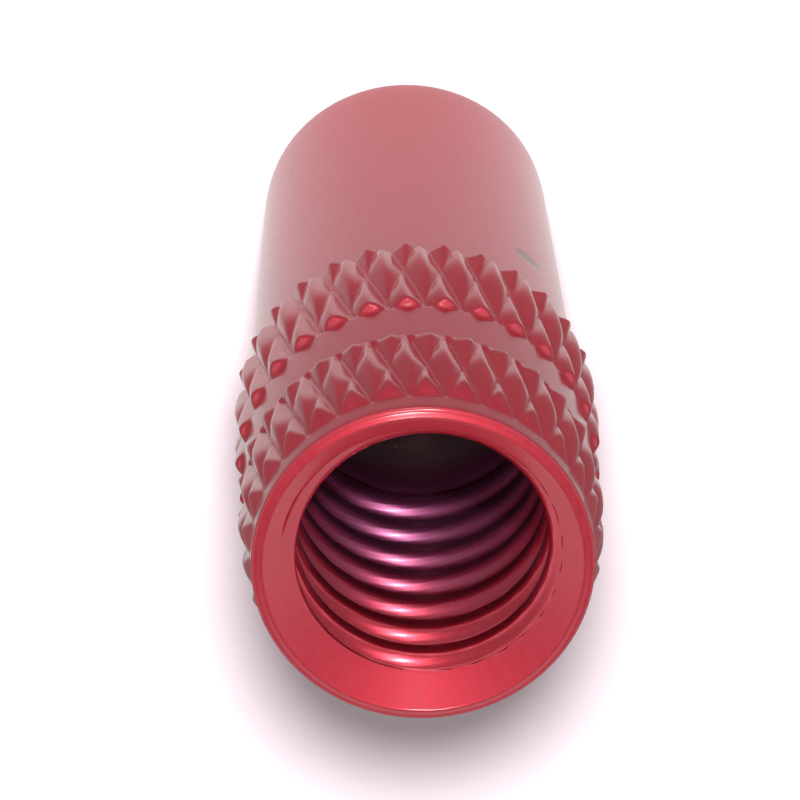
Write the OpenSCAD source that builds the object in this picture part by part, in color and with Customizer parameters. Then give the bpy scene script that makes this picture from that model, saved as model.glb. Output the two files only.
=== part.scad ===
// Tyre valve cap, turned from one aluminium bar and red anodised.
// It stands on its closed end, with the mouth up. The origin is the centre of the closed end.

/* [Overall] */
// Length from the closed end to the mouth
cap_length = 15.4; // [13:0.1:22]

/* [Nose] */
// Diameter of the nose beside the closed end
end_dia = 5.1; // [4:0.05:5.4]
// Diameter of the nose where the knurl starts
nose_dia = 6.0; // [5.5:0.02:6.1]
// Rounding of the closed end's edge
end_round = 0.2; // [0.05:0.05:0.6]

/* [Knurl] */
// Diameter across the knurl's points
knurl_dia = 6.66; // [6.3:0.02:8]
// Diameter at the bottom of the knurl's grooves
knurl_root_dia = 6.16; // [6.1:0.02:6.3]
// Number of grooves in each of the two directions
knurl_count = 29; // [20:1:36]
// Length of one diamond along the cap
diamond_length = 2.6; // [1.6:0.1:3.6]
// Angle of the knurling tool's vee
groove_angle = 105; // [80:5:120]
// Distance from the mouth to the first row of points
knurl_phase = 0.2; // [0:0.05:2.5]
// Length of the knurled band beside the mouth ring
mouth_band = 2.45; // [1.5:0.05:4]
// Length of the knurled band beside the nose
nose_band = 2.6; // [1.5:0.05:4]
// Length over which a band falls from its full height at each of its ends
band_edge = 0.1; // [0.05:0.05:0.6]

/* [Groove and mouth] */
// Length of the plain groove between the two bands
groove_length = 1.25; // [0.4:0.05:2]
// Diameter at the bottom of the plain groove
groove_dia = 6.16; // [5.8:0.02:6.2]
// Length of the smooth ring at the mouth
ring_length = 0.55; // [0.4:0.05:1.5]
// Diameter of the smooth ring at the mouth
ring_dia = 6.22; // [6.1:0.02:6.28]
// Rounding of the lip's outer edge
lip_round = 0.08; // [0.04:0.02:0.1]
// Diameter of the countersink at the lip
countersink_dia = 5.84; // [5:0.02:5.88]

/* [Bore] */
// Diameter across the crests of the internal thread
thread_crest_dia = 4.6; // [4.2:0.05:4.8]
// Length of the threaded bore below the countersink
thread_length = 7.8; // [4:0.1:9]
// Angle of the countersink, across the mouth
countersink_angle = 110; // [60:5:130]
// Diameter of the plain drilled bore behind the thread
drill_dia = 4.1; // [3:0.05:4.1]
// Length over which the bore narrows behind the thread
taper_length = 1.2; // [0.2:0.1:1.5]
// Angle of the drill's point
drill_angle = 118; // [90:2:140]
// Thickness of the closed end at the drill's point
end_wall = 1.2; // [0.6:0.1:2.5]

/* [Hidden] */
$fn = 96;
spare = 0.5; // how far a cutter runs past what it cuts
core_inset = 0.05; // how far the blank lies under the nose's radius inside the bands

// Distances from the mouth
mouth_band_end = ring_length + mouth_band;
nose_band_start = mouth_band_end + groove_length;
knurl_end = nose_band_start + nose_band;
countersink_depth = (countersink_dia - thread_crest_dia) / 2 / tan(countersink_angle / 2);
thread_end = countersink_depth + thread_length;
drill_tip = cap_length - end_wall;
drill_shoulder = drill_tip - drill_dia / 2 / tan(drill_angle / 2);

// The vee grooves cross at roots and leave a point in the middle of each diamond
core_r = nose_dia / 2 - core_inset;
row_pitch = diamond_length / 2;
column_angle = 180 / knurl_count;
groove_pitch = PI * knurl_dia / knurl_count * cos(atan(PI * knurl_dia / knurl_count / diamond_length));
point_r = knurl_root_dia / 2 + groove_pitch / 2 / tan(groove_angle / 2);
first_row = floor((ring_length - knurl_phase) / row_pitch) - 1;
last_row = ceil((knurl_end - knurl_phase) / row_pitch) + 1;
columns = 2 * knurl_count;

function from_mouth(t) = cap_length - t;

// A corner of the lattice is high where its row and column are both even or both odd
function is_high(row, column) = (row + column) % 2 == 0;
function lattice_point(row, column) =
    let(r = is_high(row, column) ? point_r : knurl_root_dia / 2, a = column * column_angle)
    [r * cos(a), r * sin(a), from_mouth(knurl_phase + row * row_pitch)];
function at(row, column) = (row - first_row) * columns + column % columns;

// Each square of the lattice is split along the groove that runs between its two low corners
function square_faces(row, column) =
    is_high(row, column)
    ? [[at(row, column), at(row, column + 1), at(row + 1, column)],
       [at(row + 1, column + 1), at(row + 1, column), at(row, column + 1)]]
    : [[at(row, column), at(row, column + 1), at(row + 1, column + 1)],
       [at(row, column), at(row + 1, column + 1), at(row + 1, column)]];

// Solid rod with a pyramid on every diamond
module pyramid_rod() {
    polyhedron(
        points = [
            for (row = [first_row : last_row], column = [0 : columns - 1])
                lattice_point(row, column)
        ],
        faces = concat(
            [
                for (row = [first_row : last_row - 1], column = [0 : columns - 1])
                    each square_faces(row, column)
            ],
            [[for (column = [columns - 1 : -1 : 0]) at(first_row, column)]],
            [[for (column = [0 : columns - 1]) at(last_row, column)]]
        )
    );
}

// Half section of one band, from its mouth side to its nose side
module band_section(start, end, start_r, end_r) {
    polygon([
        [0, from_mouth(start)],
        [start_r, from_mouth(start)],
        [knurl_dia / 2, from_mouth(start + band_edge)],
        [knurl_dia / 2, from_mouth(end - band_edge)],
        [end_r, from_mouth(end)],
        [0, from_mouth(end)]
    ]);
}

module knurled_bands() {
    intersection() {
        pyramid_rod();
        rotate_extrude() {
            band_section(ring_length, mouth_band_end, ring_dia / 2, groove_dia / 2);
            band_section(nose_band_start, knurl_end, groove_dia / 2, nose_dia / 2);
        }
    }
}

// Everything that the lathe left plain, as one half section
module blank_section() {
    lip_r = ring_dia / 2 - lip_round;
    difference() {
        polygon([
            [0, 0],
            [end_dia / 2, 0],
            [nose_dia / 2, from_mouth(knurl_end)],
            [core_r, from_mouth(knurl_end)],
            [core_r, from_mouth(nose_band_start)],
            [groove_dia / 2, from_mouth(nose_band_start)],
            [groove_dia / 2, from_mouth(mouth_band_end)],
            [core_r, from_mouth(mouth_band_end)],
            [core_r, from_mouth(ring_length)],
            [ring_dia / 2, from_mouth(ring_length)],
            [ring_dia / 2, cap_length],
            [0, cap_length]
        ]);
        // rounding of the lip's outer edge
        translate([lip_r, from_mouth(lip_round)])
            difference() {
                square(lip_round + spare);
                circle(lip_round);
            }
        // rounding of the closed end's edge
        translate([end_dia / 2 - end_round, 0])
            difference() {
                translate([0, -spare]) square([end_round + spare, end_round + spare]);
                translate([0, end_round]) circle(end_round);
            }
    }
}

module bore() {
    rotate_extrude()
        polygon([
            [0, from_mouth(drill_tip)],
            [drill_dia / 2, from_mouth(drill_shoulder)],
            [drill_dia / 2, from_mouth(thread_end + taper_length)],
            [thread_crest_dia / 2, from_mouth(thread_end)],
            [thread_crest_dia / 2, from_mouth(countersink_depth)],
            [countersink_dia / 2, cap_length],
            [countersink_dia / 2, cap_length + spare],
            [0, cap_length + spare]
        ]);
}

module cap() {
    color("firebrick")
        difference() {
            union() {
                rotate_extrude() blank_section();
                knurled_bands();
            }
            bore();
        }
}

cap();
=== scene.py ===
import bpy, bmesh, math
from mathutils import Vector, Matrix


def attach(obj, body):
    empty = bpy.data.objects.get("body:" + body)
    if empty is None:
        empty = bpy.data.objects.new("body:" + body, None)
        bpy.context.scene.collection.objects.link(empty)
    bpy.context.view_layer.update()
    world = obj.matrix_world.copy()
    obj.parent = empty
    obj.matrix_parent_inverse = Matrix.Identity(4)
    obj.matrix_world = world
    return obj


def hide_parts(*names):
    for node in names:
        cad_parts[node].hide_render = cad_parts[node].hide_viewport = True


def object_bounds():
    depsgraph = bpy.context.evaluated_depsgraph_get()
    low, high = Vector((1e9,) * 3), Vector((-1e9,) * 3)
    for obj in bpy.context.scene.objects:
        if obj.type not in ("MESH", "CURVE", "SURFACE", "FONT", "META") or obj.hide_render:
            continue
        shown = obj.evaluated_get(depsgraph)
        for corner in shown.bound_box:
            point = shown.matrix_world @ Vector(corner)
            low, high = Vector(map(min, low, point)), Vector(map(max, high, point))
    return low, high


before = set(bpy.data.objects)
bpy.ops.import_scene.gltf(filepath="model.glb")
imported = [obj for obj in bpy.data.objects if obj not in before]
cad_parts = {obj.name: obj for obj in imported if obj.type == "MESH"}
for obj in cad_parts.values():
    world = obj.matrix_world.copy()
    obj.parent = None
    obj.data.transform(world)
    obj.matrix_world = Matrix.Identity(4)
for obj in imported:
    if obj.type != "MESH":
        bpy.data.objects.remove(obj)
cadLow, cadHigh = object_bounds()
mm = 0.001

bpy.context.scene.view_settings.view_transform = "Standard"


# One node with its settings and its links, used by every tree below
def addNode(tree, kind, links=None, **settings):
    node = tree.nodes.new(kind)
    for name, value in settings.items():
        setattr(node, name, value)
    for key, source in (links or {}).items():
        socket = node.inputs[key]
        if isinstance(source, bpy.types.NodeSocket):
            tree.links.new(source, socket)
        else:
            socket.default_value = source
    return node


# An sRGB hex colour as the linear colour that the nodes work in
def hexColour(text):
    parts = [int(text[i:i + 2], 16) / 255 for i in (0, 2, 4)]
    linear = [p / 12.92 if p <= 0.04045 else ((p + 0.055) / 1.055) ** 2.4 for p in parts]
    return (*linear, 1.0)


# Two colours mixed by a part. The colour sockets are numbers 6 and 7 of the node.
def mixColours(tree, part, first, second):
    node = addNode(tree, "ShaderNodeMix", {0: part}, data_type="RGBA")
    for socket, source in ((node.inputs[6], first), (node.inputs[7], second)):
        if isinstance(source, bpy.types.NodeSocket):
            tree.links.new(source, socket)
        else:
            socket.default_value = source
    return node.outputs[2]


# The blank: the turned shape before knurling and threading, in millimetres.
# start, end and length run from the mouth along the axis.
blank = {
    "length": cadHigh.z / mm,
    "endRadius": 2.55,
    "noseRadius": 3.0,
    "endRound": 0.2,
    "ringRadius": 3.11,
    "ringLength": 0.55,
    "lipRound": 0.08,
    "crownDrop": 0.05,        # how far the lip falls from its crown to its outer edge
    "countersinkRadius": 2.92,
    "countersinkDepth": 0.434,
    "boreRadius": 2.3,
    "threadEnd": 8.23,
    "drillRadius": 2.05,
    "taperLength": 1.2,
    "drillTip": 14.2,
    "drillAngle": 118,
    "columnsPerPoint": 6,     # columns of faces to each knurl point on the plain stretches
    "knurlDivide": 4,         # how many of those go side by side in the knurl
    "endTurn": -4,            # degrees at which the closed end's rounding meets the nose
    "lipTurn": 76,            # degrees at which the lip's rounding meets its crown
    "besideEnd": 0.15,        # mm from the closed end's rounding to the nose's first row
    "besideKnurl": 0.2,       # mm from the knurl to the nose's last row
    "besideRing": 0.04,       # mm from the knurl's last row to the mouth ring's first one
    "sameRow": 1e-4,          # rows nearer than this are one row
}

# Rows of faces on each stretch of the half section
rowCounts = {
    "endFace": 8,
    "endRound": 8,
    "nose": 16,
    "ring": 3,
    "lipRound": 8,
    "crown": 4,
    "countersink": 22,
    "drill": 6,
}

# The knurl, rolled by two wheels whose grooves cross.
# Radii, lengths and distances from the mouth are in mm.
knurl = {
    "pointsRadius": 3.33,
    "rightRootRadius": 3.1,
    "rightCrestRadius": 3.36,
    "leftRootRadius": 3.19,
    "leftCrestRadius": 3.44,
    "crown": 0.1,             # how round the crests are between sharp grooves, 0 to 1
    "unevenness": 0.02,       # how far points differ in height
    "wander": 0.04,           # how far grooves stray, as a part of their pitch
    "unevenScale": 1.1,       # mm from one high point to the next
    "count": 29,
    "diamondLength": 2.705,
    "phase": 0.49,            # the first row of points, from the mouth
    "grooveRadius": 3.16,
    "grooveStart": 3.0,
    "grooveEnd": 4.25,
    "end": 6.85,
    "edge": 0.12,             # the chamfers beside the groove and the nose
    "ringEdge": 0.55,         # the longer chamfer beside the mouth ring
    "softness": 0.15,         # how widely crests and roots are rounded
    "rowSteps": 12,           # rows of faces from one row of points to the next
    "rowsPast": 0.1,          # mm that the rows run on past the nose side's end
    "rowGap": 0.3,            # rows nearer to an edge than this part of a step are left out
    "innerRadius": 2.95,      # the wheels don't reach what lies nearer to the axis
}

# The thread inside the mouth, in mm where nothing else is said
thread = {
    "pitch": 1.058,
    "depth": 0.3,
    "stepsPerPitch": 22,
    "flankFrom": 0.25,        # where the flanks begin and end between two crests, 0 to 1
    "flankTo": 0.72,
    "fade": 0.5,              # mm over which the thread runs out at its inner end
    "lipClear": 0.05,         # mm beside the lip's inner edge that the thread leaves alone
    "softness": 0.03,
}
tolerance = 0.001 * mm


# Points of a straight or a round stretch of the half section: (radius, distance from the mouth)
def straight(r0, t0, r1, t1, steps):
    return [(r0 + (r1 - r0) * i / steps, t0 + (t1 - t0) * i / steps) for i in range(steps + 1)]


def rounded(r, t, radius, start, stop, steps):
    angles = [math.radians(start + (stop - start) * i / steps) for i in range(steps + 1)]
    return [(r + radius * math.cos(a), t - radius * math.sin(a)) for a in angles]


def noseRadiusAt(t):
    b = blank
    part = (t - knurl["end"]) / (b["length"] - knurl["end"])
    return b["noseRadius"] + (b["endRadius"] - b["noseRadius"]) * part


# Rows where the knurl has a row of points or a part of one, and where its bands begin and end
def knurlRows():
    k = knurl
    step = k["diamondLength"] / 2 / k["rowSteps"]
    first = math.ceil((blank["ringLength"] - k["phase"]) / step)
    last = math.floor((k["end"] + k["rowsPast"] - k["phase"]) / step)
    rows = [k["phase"] + i * step for i in range(first, last + 1)]
    edges = []
    feet = (blank["ringLength"], 1), (k["grooveStart"], -1), (k["grooveEnd"], 1), (k["end"], -1)
    for foot, side in feet:
        edges += [foot + side * k["edge"] * part for part in (0, 0.5, 1, 2)]
    rows = [t for t in rows if min(abs(t - e) for e in edges) > step * k["rowGap"]]
    return sorted(rows + edges, reverse=True)


# The half section in three stretches, each with its number of columns
def stretches():
    b, k, n = blank, knurl, rowCounts
    end, ring, bore, drill = b["endRadius"], b["ringRadius"], b["boreRadius"], b["drillRadius"]
    columns = b["columnsPerPoint"] * k["count"]
    corner = b["length"] - b["endRound"]
    nose = straight(0, b["length"], end - b["endRound"], b["length"], n["endFace"])
    nose += rounded(end - b["endRound"], corner, b["endRound"], -90, b["endTurn"], n["endRound"])
    start, stop = corner - b["besideEnd"], k["end"] + b["besideKnurl"]
    nose += [(noseRadiusAt(t), t) for _, t in straight(0, start, 0, stop, n["nose"])]
    bands = [(noseRadiusAt(t) if t > k["end"] else ring, t) for t in knurlRows()]
    lip, drop = b["lipRound"], b["crownDrop"]
    mouth = straight(ring, b["ringLength"] - b["besideRing"], ring, lip + drop, n["ring"])
    mouth += rounded(ring - lip, lip + drop, lip, 0, b["lipTurn"], n["lipRound"])
    mouth += straight(ring - lip, drop, b["countersinkRadius"], 0.0, n["crown"])
    mouth += straight(b["countersinkRadius"], 0.0, bore, b["countersinkDepth"], n["countersink"])
    threaded = b["threadEnd"] - b["countersinkDepth"]
    pitchSteps = round(threaded / thread["pitch"] * thread["stepsPerPitch"])
    mouth += straight(bore, b["countersinkDepth"], bore, b["threadEnd"], pitchSteps)
    taperEnd = b["threadEnd"] + b["taperLength"]
    shoulder = b["drillTip"] - drill / math.tan(math.radians(b["drillAngle"] / 2))
    mouth += straight(bore, b["threadEnd"], drill, taperEnd, n["drill"])
    mouth += straight(drill, taperEnd, drill, shoulder, n["drill"])
    mouth += straight(drill, shoulder, 0.0, b["drillTip"], n["drill"])
    return [(nose, columns), (bands, columns * b["knurlDivide"]), (mouth, columns)]


# One ring of points, or a single point on the axis
def ringOf(mesh, r, t, columns):
    z = (blank["length"] - t) * mm
    if r < blank["sameRow"]:
        return [mesh.verts.new((0, 0, z))]
    angles = [2 * math.pi * c / columns for c in range(columns)]
    return [mesh.verts.new((r * mm * math.cos(a), r * mm * math.sin(a), z)) for a in angles]


# Faces between two rings with as many points each, or between a ring and a point on the axis.
# In the knurl each is split along its groove.
def joinRings(mesh, upper, lower, t):
    n = max(len(upper), len(lower))
    half = blank["columnsPerPoint"] * blank["knurlDivide"] // 2
    inKnurl = n > blank["columnsPerPoint"] * knurl["count"]
    for c in range(n):
        d = (c + 1) % n
        if len(upper) == 1:
            mesh.faces.new((upper[0], lower[d], lower[c]))
        elif len(lower) == 1:
            mesh.faces.new((upper[c], upper[d], lower[0]))
        elif inKnurl:
            cell = c // half + math.floor((t - knurl["phase"]) / (knurl["diamondLength"] / 2))
            if cell % 2:
                mesh.faces.new((upper[c], upper[d], lower[c]))
                mesh.faces.new((upper[d], lower[d], lower[c]))
            else:
                mesh.faces.new((upper[c], upper[d], lower[d]))
                mesh.faces.new((upper[c], lower[d], lower[c]))
        else:
            mesh.faces.new((upper[c], upper[d], lower[d], lower[c]))


# Faces from a ring to one that has several points for each of its own
def fanRings(mesh, coarse, fine):
    share = len(fine) // len(coarse)
    for c in range(len(coarse)):
        a, b = coarse[c], coarse[(c + 1) % len(coarse)]
        points = [fine[(c * share + i) % len(fine)] for i in range(share + 1)]
        middle = share // 2
        for i in range(share):
            mesh.faces.new((a if i < middle else b, points[i], points[i + 1]))
        mesh.faces.new((a, points[middle], b))


def turnBlank():
    mesh = bmesh.new()
    before = None
    for rows, columns in stretches():
        pairs = zip(rows, rows[1:])
        kept = [rows[0]] + [row for last, row in pairs if math.dist(last, row) > blank["sameRow"]]
        for r, t in kept:
            ring = ringOf(mesh, r, t, columns)
            if before:
                coarse, fine = sorted((before[0], ring), key=len)
                if 1 < len(coarse) < len(fine):
                    fanRings(mesh, coarse, fine)
                else:
                    joinRings(mesh, before[0], ring, (before[1] + t) / 2)
            before = ring, t
    bmesh.ops.recalc_face_normals(mesh, faces=mesh.faces)
    data = bpy.data.meshes.new("cap_turned")
    mesh.to_mesh(data)
    mesh.free()
    piece = bpy.data.objects.new("cap_turned", data)
    bpy.context.scene.collection.objects.link(piece)
    return piece


# A tree with a mesh going in and out, and named number inputs
def newTree(name, numbers):
    tree = bpy.data.node_groups.new(name, "GeometryNodeTree")
    face = tree.interface
    face.new_socket("Geometry", in_out="INPUT", socket_type="NodeSocketGeometry")
    for label, value in numbers.items():
        socket = face.new_socket(label, in_out="INPUT", socket_type="NodeSocketFloat")
        socket.default_value = value
    face.new_socket("Material", in_out="INPUT", socket_type="NodeSocketMaterial")
    face.new_socket("Geometry", in_out="OUTPUT", socket_type="NodeSocketGeometry")
    return tree


def maths(tree, operation, a, b=None, c=None):
    links = {0: a}
    if b is not None:
        links[1] = b
    if c is not None:
        links[2] = c
    return addNode(tree, "ShaderNodeMath", links, operation=operation).outputs[0]


def vectorNode(tree, operation, vector):
    return addNode(tree, "ShaderNodeVectorMath", {0: vector}, operation=operation)


# Distance along the axis from the mouth, angle round it and radius, as fields
def polarFields(tree, length):
    position = addNode(tree, "GeometryNodeInputPosition").outputs[0]
    xyz = addNode(tree, "ShaderNodeSeparateXYZ", {0: position})
    t = maths(tree, "SUBTRACT", length, xyz.outputs[2])
    angle = maths(tree, "ARCTAN2", xyz.outputs[1], xyz.outputs[0])
    flat = addNode(tree, "ShaderNodeCombineXYZ", {0: xyz.outputs[0], 1: xyz.outputs[1]})
    radius = vectorNode(tree, "LENGTH", flat.outputs[0]).outputs["Value"]
    outward = vectorNode(tree, "NORMALIZE", flat.outputs[0]).outputs[0]
    return t, angle, radius, outward


# 1 at a groove's bottom, 0 midway to the next one
def grooveWave(tree, turns):
    part = maths(tree, "FRACT", turns)
    fromMiddle = maths(tree, "ABSOLUTE", maths(tree, "SUBTRACT", part, 0.5))
    return maths(tree, "MULTIPLY", fromMiddle, 2.0)


# A value that goes from one number to another while t goes from one distance to another
def slide(tree, t, t0, t1, v0, v1, smooth=False):
    kind = "SMOOTHSTEP" if smooth else "LINEAR"
    links = {0: t, 1: t0, 2: t1, 3: v0, 4: v1}
    return addNode(tree, "ShaderNodeMapRange", links, interpolation_type=kind).outputs[0]


# The geometry coming in with the chosen points moved outwards, and the material put on it
def movedOutwards(tree, inp, chosen, outward, distance):
    offset = vectorNode(tree, "SCALE", outward)
    tree.links.new(distance, offset.inputs["Scale"])
    moved = addNode(tree, "GeometryNodeSetPosition", {
        "Geometry": inp["Geometry"], "Selection": chosen, "Offset": offset.outputs[0]})
    real = addNode(tree, "GeometryNodeRealizeInstances", {"Geometry": moved.outputs[0]})
    return addNode(tree, "GeometryNodeSetMaterial", {
        "Geometry": real.outputs[0], "Material": inp["Material"]}).outputs[0]


def knurlTree():
    k, b = knurl, blank
    tree = newTree("rolled knurl", {
        "Length": b["length"] * mm,
        "Count": k["count"],
        "Diamond length": k["diamondLength"] * mm,
        "Phase": k["phase"] * mm,
        "Points radius": k["pointsRadius"] * mm,
        "Right root radius": k["rightRootRadius"] * mm,
        "Left root radius": k["leftRootRadius"] * mm,
        "Right crest radius": k["rightCrestRadius"] * mm,
        "Left crest radius": k["leftCrestRadius"] * mm,
        "Crown": k["crown"],
        "Softness": k["softness"] * mm,
        "Unevenness": k["unevenness"] * mm,
        "Uneven scale": 1 / (k["unevenScale"] * mm),
        "Wander": k["wander"],
    })
    inp = addNode(tree, "NodeGroupInput").outputs
    out = addNode(tree, "NodeGroupOutput")
    t, angle, radius, outward = polarFields(tree, inp["Length"])
    turns = maths(tree, "DIVIDE", maths(tree, "MULTIPLY", angle, inp["Count"]), 2 * math.pi)
    fromPhase = maths(tree, "SUBTRACT", t, inp["Phase"])
    along = maths(tree, "DIVIDE", fromPhase, inp["Diamond length"])
    noise = addNode(tree, "ShaderNodeTexNoise", {
        "Scale": inp["Uneven scale"], "Detail": 2.0}).outputs
    uneven = maths(tree, "SUBTRACT", noise[0], 0.5)
    stray = addNode(tree, "ShaderNodeSeparateXYZ", {0: noise[1]}).outputs
    # a wheel's groove is where turns plus or minus the distance is a whole number and a half
    sides = []
    for side, operation, astray in (("Right", "SUBTRACT", stray[0]), ("Left", "ADD", stray[1])):
        straightPlace = maths(tree, operation, turns, along)
        place = maths(tree, "MULTIPLY_ADD", astray, inp["Wander"], straightPlace)
        away = maths(tree, "PINGPONG", maths(tree, "SUBTRACT", place, 0.5), 0.5)
        ramp = maths(tree, "MULTIPLY", away, 2.0)
        bulge = maths(tree, "MULTIPLY", ramp, maths(tree, "SUBTRACT", 1.0, ramp))
        rise = maths(tree, "MULTIPLY_ADD", bulge, inp["Crown"], ramp)
        depth = maths(tree, "SUBTRACT", inp[side + " crest radius"], inp[side + " root radius"])
        sides.append(maths(tree, "MULTIPLY_ADD", rise, depth, inp[side + " root radius"]))
    flank = maths(tree, "SMOOTH_MIN", sides[0], sides[1], inp["Softness"])
    flank = maths(tree, "MULTIPLY_ADD", uneven, inp["Unevenness"], flank)
    # the bands as they were turned, before the wheels
    points, groove = k["pointsRadius"] * mm, k["grooveRadius"] * mm
    nose, ring, ringEnd = b["noseRadius"] * mm, b["ringRadius"] * mm, b["ringLength"] * mm
    edge, end = k["edge"] * mm, k["end"] * mm
    grooveStart, grooveEnd = k["grooveStart"] * mm, k["grooveEnd"] * mm
    mouthSide = slide(tree, t, ringEnd, ringEnd + k["ringEdge"] * mm, ring, points)
    noseSide = slide(tree, t, end - edge, end, points, nose)
    grooveSides = maths(tree, "MAXIMUM",
                        slide(tree, t, grooveStart - edge, grooveStart, points, groove),
                        slide(tree, t, grooveEnd, grooveEnd + edge, groove, points))
    turned = maths(tree, "MINIMUM", maths(tree, "MINIMUM", mouthSide, noseSide), grooveSides)
    high = maths(tree, "SMOOTH_MIN", flank, turned, inp["Softness"])
    # the plain groove isn't cut by the wheels
    plain = maths(tree, "MULTIPLY",
                  maths(tree, "GREATER_THAN", t, grooveStart - tolerance),
                  maths(tree, "LESS_THAN", t, grooveEnd + tolerance))
    newRadius = addNode(tree, "GeometryNodeSwitch", {
        "Switch": plain, "False": high, "True": groove}, input_type="FLOAT").outputs[0]
    inside = maths(tree, "MULTIPLY",
                   maths(tree, "GREATER_THAN", t, ringEnd + tolerance),
                   maths(tree, "LESS_THAN", t, end + tolerance))
    outer = maths(tree, "GREATER_THAN", radius, k["innerRadius"] * mm)
    inside = maths(tree, "MULTIPLY", inside, outer)
    push = maths(tree, "SUBTRACT", newRadius, radius)
    tree.links.new(movedOutwards(tree, inp, inside, outward, push), out.inputs["Geometry"])
    return tree


def threadTree():
    b, c = blank, thread
    tree = newTree("cut thread", {
        "Length": b["length"] * mm,
        "Pitch": c["pitch"] * mm,
        "Depth": c["depth"] * mm,
        "Bore radius": b["boreRadius"] * mm,
        "End": b["threadEnd"] * mm,
    })
    inp = addNode(tree, "NodeGroupInput").outputs
    out = addNode(tree, "NodeGroupOutput")
    t, angle, radius, outward = polarFields(tree, inp["Length"])
    lead = maths(tree, "DIVIDE", angle, 2 * math.pi)
    wave = grooveWave(tree, maths(tree, "ADD", maths(tree, "DIVIDE", t, inp["Pitch"]), lead))
    shape = slide(tree, wave, c["flankFrom"], c["flankTo"], 0.0, 1.0, smooth=True)
    end = slide(tree, t, (b["threadEnd"] - c["fade"]) * mm, b["threadEnd"] * mm, 1.0, 0.0)
    depth = maths(tree, "MULTIPLY", maths(tree, "MULTIPLY", shape, end), inp["Depth"])
    # the thread's groove also cuts the countersink, where it lies deeper than the cone
    deeper = maths(tree, "SUBTRACT", maths(tree, "ADD", depth, inp["Bore radius"]), radius)
    push = maths(tree, "SMOOTH_MAX", deeper, 0.0, c["softness"] * mm)
    near = maths(tree, "ADD", inp["Bore radius"], inp["Depth"])
    inside = maths(tree, "MULTIPLY",
                   maths(tree, "LESS_THAN", radius, near),
                   maths(tree, "LESS_THAN", t, inp["End"]))
    clear = maths(tree, "GREATER_THAN", t, c["lipClear"] * mm)
    inside = maths(tree, "MULTIPLY", inside, clear)
    tree.links.new(movedOutwards(tree, inp, inside, outward, push), out.inputs["Geometry"])
    return tree


# Red anodised aluminium: dyed metal that is satin from the lathe, under a clear oxide skin.
# The skin gives a pale sheen where the surface is seen at a slant, and the metal its deep red.
anodised = {
    "red": "C8263C",
    "mottleTone": "DC6E7C",
    "mottle": 0.09,           # how much of that tone the palest spots have
    "boreTint": "8E406C",     # lilac further down the bore
    "tintFrom": 1.5,          # mm from the mouth
    "tintTo": 6.5,
    "drillPaintedLight": "9A8084",    # painted light: a paler grey behind the thread that lifts the dark bottom of the bore
    "drillFrom": 8.2,
    "drillTo": 9.4,
    "metallic": 0.7,
    "roughness": 0.54,
    "boreRoughness": 0.28,
    "coatRoughness": 0.16,
    "coatIor": 1.5,
    "feedMark": 0.09,         # mm between turning marks, coarser than real so that they show
    "feedDepth": 0.0012,
    "feedTurn": 0.6,          # how much a turning mark changes in one radian
    "grain": 0.16,            # mm, the mottling of the etched surface
    "roughnessSpread": 0.05,
    "low": 0.3,               # the grain's noise that counts as none and as all
    "high": 0.7,
}

# Where the bore's wall is, in mm: a point nearer to the axis than this is in the bore
boreWall = {
    "clear": 0.05,
    "narrowFrom": 8.0,
    "narrowTo": 10.0,
    "end": 14.5,
    "tappedFrom": 0.4,
    "tappedTo": 0.8,
}

# Knocks, at an angle in degrees round the axis and a distance in mm from the mouth
markCore = 0.45      # the part of a mark's half size that is fully marked
outerFrom = 2.4      # mm from the axis, so that the bore's wall has no marks
marks = [
    # the nick on the nose: a shallow dent whose dark tone is painted shade
    {"angle": -144.0, "away": 8.8, "length": 0.95, "width": 0.45, "slant": -24.0,
     "depth": 0.004, "tone": "7A1C2C"},
    # two raised burrs where the knurl meets the nose, their pale tone a painted glint
    {"angle": -58.0, "away": 7.05, "length": 0.22, "width": 0.12, "slant": 60.0,
     "depth": -0.03, "tone": "E8C8C4"},
    {"angle": -71.5, "away": 7.0, "length": 0.2, "width": 0.1, "slant": 75.0,
     "depth": -0.03, "tone": "E8C8C4"},
]


# Radius, distance from the mouth and angle of the shaded point, in mm and radians
def shadedPlace(tree):
    place = addNode(tree, "ShaderNodeTexCoord").outputs["Object"]
    xyz = addNode(tree, "ShaderNodeSeparateXYZ", {0: place}).outputs
    flat = addNode(tree, "ShaderNodeCombineXYZ", {0: xyz[0], 1: xyz[1]}).outputs[0]
    radius = vectorNode(tree, "LENGTH", flat).outputs["Value"]
    t = maths(tree, "SUBTRACT", blank["length"], maths(tree, "DIVIDE", xyz[2], mm))
    angle = maths(tree, "ARCTAN2", xyz[1], xyz[0])
    return maths(tree, "DIVIDE", radius, mm), t, angle


# 1 in the middle of a mark and 0 outside it
def markPart(tree, mark, radius, t, angle):
    turned = maths(tree, "SUBTRACT", angle, math.radians(mark["angle"]))
    around = maths(tree, "MULTIPLY", turned, radius)
    along = maths(tree, "SUBTRACT", t, mark["away"])
    cos, sin = math.cos(math.radians(mark["slant"])), math.sin(math.radians(mark["slant"]))
    u = maths(tree, "ADD",
              maths(tree, "MULTIPLY", around, cos), maths(tree, "MULTIPLY", along, sin))
    v = maths(tree, "SUBTRACT",
              maths(tree, "MULTIPLY", along, cos), maths(tree, "MULTIPLY", around, sin))
    u = maths(tree, "DIVIDE", u, mark["length"] / 2)
    v = maths(tree, "DIVIDE", v, mark["width"] / 2)
    squares = maths(tree, "ADD", maths(tree, "MULTIPLY", u, u), maths(tree, "MULTIPLY", v, v))
    away = maths(tree, "SQRT", squares)
    part = slide(tree, away, markCore, 1.0, 1.0, 0.0, smooth=True)
    return maths(tree, "MULTIPLY", part, maths(tree, "GREATER_THAN", radius, outerFrom))


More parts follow.
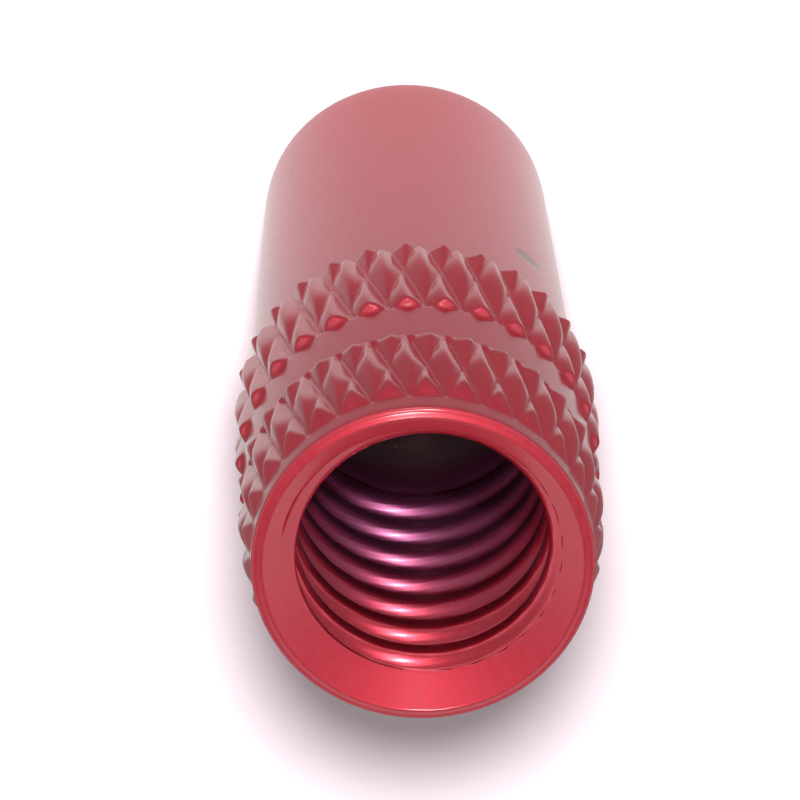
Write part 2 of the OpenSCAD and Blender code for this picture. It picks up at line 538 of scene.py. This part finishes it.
# 1 on the bore's wall and 0 outside it
def borePart(tree, radius, t):
    w = boreWall
    threaded = blank["boreRadius"] + thread["depth"] + w["clear"]
    drilled = blank["drillRadius"] + w["clear"]
    wall = slide(tree, t, w["narrowFrom"], w["narrowTo"], threaded, drilled)
    return maths(tree, "MULTIPLY",
                 maths(tree, "LESS_THAN", radius, wall),
                 maths(tree, "LESS_THAN", t, w["end"]))


def anodisedAluminium():
    a = anodised
    material = bpy.data.materials.new("anodised_aluminium_red")
    material.use_nodes = True
    tree = material.node_tree
    shader = tree.nodes["Principled BSDF"]
    radius, t, angle = shadedPlace(tree)
    # the turning marks run round the axis, so the noise hardly changes with the angle
    feedPlace = addNode(tree, "ShaderNodeCombineXYZ", {
        0: maths(tree, "DIVIDE", radius, a["feedMark"]),
        1: maths(tree, "DIVIDE", t, a["feedMark"]),
        2: maths(tree, "MULTIPLY", angle, a["feedTurn"])}).outputs[0]
    feed = addNode(tree, "ShaderNodeTexNoise", {
        "Vector": feedPlace, "Scale": 1.0, "Detail": 2.0}).outputs[0]
    grainPlace = addNode(tree, "ShaderNodeTexCoord").outputs["Object"]
    grain = addNode(tree, "ShaderNodeTexNoise", {
        "Vector": grainPlace, "Scale": 1 / (a["grain"] * mm), "Detail": 3.0}).outputs[0]
    # the base colour, lilac further down the bore and uneven by a few percent
    inBore = borePart(tree, radius, t)
    deep = slide(tree, t, a["tintFrom"], a["tintTo"], 0.0, 1.0, smooth=True)
    deep = maths(tree, "MULTIPLY", deep, inBore)
    colour = mixColours(tree, deep, hexColour(a["red"]), hexColour(a["boreTint"]))
    # painted light: a paler grey behind the thread stands in for light that hardly reaches the
    # bottom of the bore
    drilled = slide(tree, t, a["drillFrom"], a["drillTo"], 0.0, 1.0, smooth=True)
    drilled = maths(tree, "MULTIPLY", drilled, inBore)
    colour = mixColours(tree, drilled, colour, hexColour(a["drillPaintedLight"]))
    mottle = slide(tree, grain, a["low"], a["high"], 0.0, a["mottle"])
    colour = mixColours(tree, mottle, colour, hexColour(a["mottleTone"]))
    height = maths(tree, "MULTIPLY", feed, a["feedDepth"])
    # each mark's tone: painted shade in the nick and painted glints on the burrs
    for mark in marks:
        part = markPart(tree, mark, radius, t, angle)
        colour = mixColours(tree, part, colour, hexColour(mark["tone"]))
        height = maths(tree, "SUBTRACT", height, maths(tree, "MULTIPLY", part, mark["depth"]))
    bump = addNode(tree, "ShaderNodeBump", {
        "Height": height, "Distance": mm, "Strength": 1.0}).outputs[0]
    # etched outside, smoother where the tap cut
    least, most = a["roughness"] - a["roughnessSpread"], a["roughness"] + a["roughnessSpread"]
    etched = slide(tree, grain, a["low"], a["high"], least, most)
    tapped = slide(tree, t, boreWall["tappedFrom"], boreWall["tappedTo"], 0.0, 1.0)
    tapped = maths(tree, "MULTIPLY", inBore, tapped)
    roughness = slide(tree, tapped, 0.0, 1.0, etched, a["boreRoughness"])
    tree.links.new(colour, shader.inputs["Base Color"])
    tree.links.new(bump, shader.inputs["Normal"])
    tree.links.new(bump, shader.inputs["Coat Normal"])
    tree.links.new(roughness, shader.inputs["Roughness"])
    shader.inputs["Metallic"].default_value = a["metallic"]
    shader.inputs["Coat Weight"].default_value = 1.0
    shader.inputs["Coat Roughness"].default_value = a["coatRoughness"]
    shader.inputs["Coat IOR"].default_value = a["coatIor"]
    return material


def addModifier(piece, tree, material):
    modifier = piece.modifiers.new(tree.name, "NODES")
    modifier.node_group = tree
    for item in tree.interface.items_tree:
        if item.item_type == "SOCKET" and item.in_out == "INPUT" and item.name == "Material":
            modifier[item.identifier] = material


def plainMesh(piece, name):
    graph = bpy.context.evaluated_depsgraph_get()
    data = bpy.data.meshes.new_from_object(piece.evaluated_get(graph), depsgraph=graph)
    data.name = name
    for modifier in list(piece.modifiers):
        piece.modifiers.remove(modifier)
    piece.data = data
    piece.name = name
    return piece


sharpAngle = 65     # degrees between two faces above which their edge stays sharp


def makeCap():
    piece = turnBlank()
    print("turned", len(piece.data.polygons), "faces")
    material = anodisedAluminium()
    addModifier(piece, knurlTree(), material)
    addModifier(piece, threadTree(), material)
    piece = plainMesh(piece, "cap_shell")
    for polygon in piece.data.polygons:
        polygon.use_smooth = True
    piece.data.set_sharp_from_angle(angle=math.radians(sharpAngle))
    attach(piece, "root")
    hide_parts("cap")
    print("knurled and threaded", len(piece.data.polygons), "faces")
    return piece


cameraSetup = {
    "tilt": 25.1,            # degrees between the view and the cap's axis
    "turn": -4.7,            # degrees round the axis, which brings the knurl's points into place
    "roll": 2.9,
    "distance": 650.0,       # mm, far enough for the photo's flat view, near enough for others
    "pixelsPerMm": 55.5,
    "mouthPixel": (423.3, 565.2),
    "frame": 800,            # pixels
    "sensor": 36.0,          # mm
    "clip": (0.001, 20.0),   # metres
}


def makeCamera():
    c = cameraSetup
    tilt, roll = math.radians(c["tilt"]), math.radians(c["roll"])
    toCamera = Vector((0, -math.sin(tilt), math.cos(tilt)))
    up = Vector((0, -math.cos(tilt), -math.sin(tilt)))
    right = Vector((-1, 0, 0))
    # the closed end leans left in the picture, so the camera turns the other way
    upRolled = up * math.cos(roll) + right * math.sin(roll)
    rightRolled = right * math.cos(roll) - up * math.sin(roll)
    mouth = Vector((0, 0, blank["length"]))
    dx = (c["mouthPixel"][0] - c["frame"] / 2) / c["pixelsPerMm"]
    dy = (c["frame"] / 2 - c["mouthPixel"][1]) / c["pixelsPerMm"]
    target = mouth - rightRolled * dx - upRolled * dy
    data = bpy.data.cameras.new("camera")
    data.sensor_width = c["sensor"]
    data.lens = c["pixelsPerMm"] * c["sensor"] * c["distance"] / c["frame"]
    data.clip_start, data.clip_end = c["clip"]
    camera = bpy.data.objects.new("camera", data)
    axes = Matrix((rightRolled, upRolled, toCamera)).transposed()
    turn = Matrix.Rotation(math.radians(c["turn"]), 4, "Z")
    place = Matrix.Translation((target + toCamera * c["distance"]) * mm)
    camera.matrix_world = turn @ place @ axes.to_4x4()
    bpy.context.scene.collection.objects.link(camera)
    bpy.context.scene.camera = camera
    print("camera", c["distance"], "mm away")


# The camera sees a floor with a faintly pink shadow, its pink painted in the floor's colour in
# place of red light thrown off the cap. To everything else the floor glows: the cap mirrors one
# that is white near it.
floorSetup = {
    "seen": "CDC0C5",
    "mirroredWhite": "EEEEEE",
    "mirroredDark": "949494",
    "whiteDisc": 7.0,           # mm from the cap's axis
    "darkFrom": 11.0,
    "halfSide": 1.0,            # metres
}


def makeFloor():
    f = floorSetup
    mesh = bmesh.new()
    bmesh.ops.create_grid(mesh, x_segments=1, y_segments=1, size=f["halfSide"])
    data = bpy.data.meshes.new("floor")
    mesh.to_mesh(data)
    mesh.free()
    floor = bpy.data.objects.new("floor", data)
    bpy.context.scene.collection.objects.link(floor)
    material = bpy.data.materials.new("floor_white")
    material.use_nodes = True
    tree = material.node_tree
    tree.nodes.remove(tree.nodes["Principled BSDF"])
    place = addNode(tree, "ShaderNodeTexCoord").outputs["Object"]
    away = vectorNode(tree, "LENGTH", place).outputs["Value"]
    far = slide(tree, away, f["whiteDisc"] * mm, f["darkFrom"] * mm, 0.0, 1.0)
    tone = mixColours(tree, far, hexColour(f["mirroredWhite"]), hexColour(f["mirroredDark"]))
    mirrored = addNode(tree, "ShaderNodeEmission", {"Color": tone, "Strength": 1.0})
    seen = addNode(tree, "ShaderNodeBsdfDiffuse", {"Color": hexColour(f["seen"])})
    cameraRay = addNode(tree, "ShaderNodeLightPath").outputs["Is Camera Ray"]
    mix = addNode(tree, "ShaderNodeMixShader", {
        0: cameraRay, 1: mirrored.outputs[0], 2: seen.outputs[0]})
    tree.links.new(mix.outputs[0], tree.nodes["Material Output"].inputs["Surface"])
    data.materials.append(material)
    print("floor")
    return floor


# Lamps that stand round the cap. tilt goes from the cap's axis towards the top of the picture and
# side towards its right, in degrees. size is in metres.
lamps = {
    "overhead": {"tilt": 80.0, "side": 0.0, "size": 0.12, "power": 0.12, "lights": "cap"},
    # gives the thread its row of white highlights
    "key": {"tilt": 32.0, "side": 4.8, "size": 0.018, "power": 0.36, "lights": "cap"},
    # reaches the bottom of the bore
    "fill": {"tilt": 17.0, "side": -2.0, "size": 0.05, "power": 0.3, "lights": "cap"},
    "shadow": {"tilt": 28.7, "side": 0.5, "size": 0.04, "power": 2.5, "lights": "floor"},
}
lampAway = 0.35   # metres from the point that they are aimed at
lampAim = 0.7     # the height of that point, as a part of the cap's


# The way from the cap that has this tilt and side, in the picture as the camera is turned
def wayAt(tilt, side):
    t, s = math.radians(tilt), math.radians(side)
    way = Vector((-math.sin(s), -math.sin(t) * math.cos(s), math.cos(t) * math.cos(s)))
    return Matrix.Rotation(math.radians(cameraSetup["turn"]), 3, "Z") @ way


def addLamp(name, lamp, lit):
    data = bpy.data.lights.new(name, "AREA")
    data.shape = "DISK"
    data.size = lamp["size"]
    data.energy = lamp["power"]
    piece = bpy.data.objects.new(name, data)
    way = wayAt(lamp["tilt"], lamp["side"])
    piece.location = way * lampAway + Vector((0, 0, cadHigh.z * lampAim))
    piece.rotation_mode = "QUATERNION"
    piece.rotation_quaternion = (-way).to_track_quat("-Z", "Y")
    bpy.context.scene.collection.objects.link(piece)
    chosen = bpy.data.collections.new(name + "_lights")
    chosen.objects.link(lit)
    piece.light_linking.receiver_collection = chosen


# The room: dark above the cap, bright all round it near the horizon
worldSetup = {
    "top": 0.3,
    "ring": 1.1,
    "topAngle": 52.0,        # degrees from straight up at which the dark starts to fade
    "ringAngle": 68.0,
}


def makeLight(cap, floor):
    w = worldSetup
    world = bpy.data.worlds.new("studio")
    bpy.context.scene.world = world
    world.use_nodes = True
    tree = world.node_tree
    background = tree.nodes["Background"]
    way = addNode(tree, "ShaderNodeTexCoord").outputs["Generated"]
    height = addNode(tree, "ShaderNodeSeparateXYZ", {0: way}).outputs[2]
    ringHeight = math.cos(math.radians(w["ringAngle"]))
    topHeight = math.cos(math.radians(w["topAngle"]))
    level = slide(tree, height, ringHeight, topHeight, w["ring"], w["top"])
    tree.links.new(level, background.inputs["Strength"])
    background.inputs["Color"].default_value = hexColour("FFFFFF")
    seen = addNode(tree, "ShaderNodeBackground", {"Color": hexColour("FFFFFF"), "Strength": 1.0})
    path = addNode(tree, "ShaderNodeLightPath")
    mix = addNode(tree, "ShaderNodeMixShader", {
        0: path.outputs["Is Camera Ray"], 1: background.outputs[0], 2: seen.outputs[0]})
    tree.links.new(mix.outputs[0], tree.nodes["World Output"].inputs["Surface"])
    for name, lamp in lamps.items():
        addLamp(name, lamp, cap if lamp["lights"] == "cap" else floor)
    print("lamps", len(lamps))


cap = makeCap()
makeCamera()
floor = makeFloor()
makeLight(cap, floor)
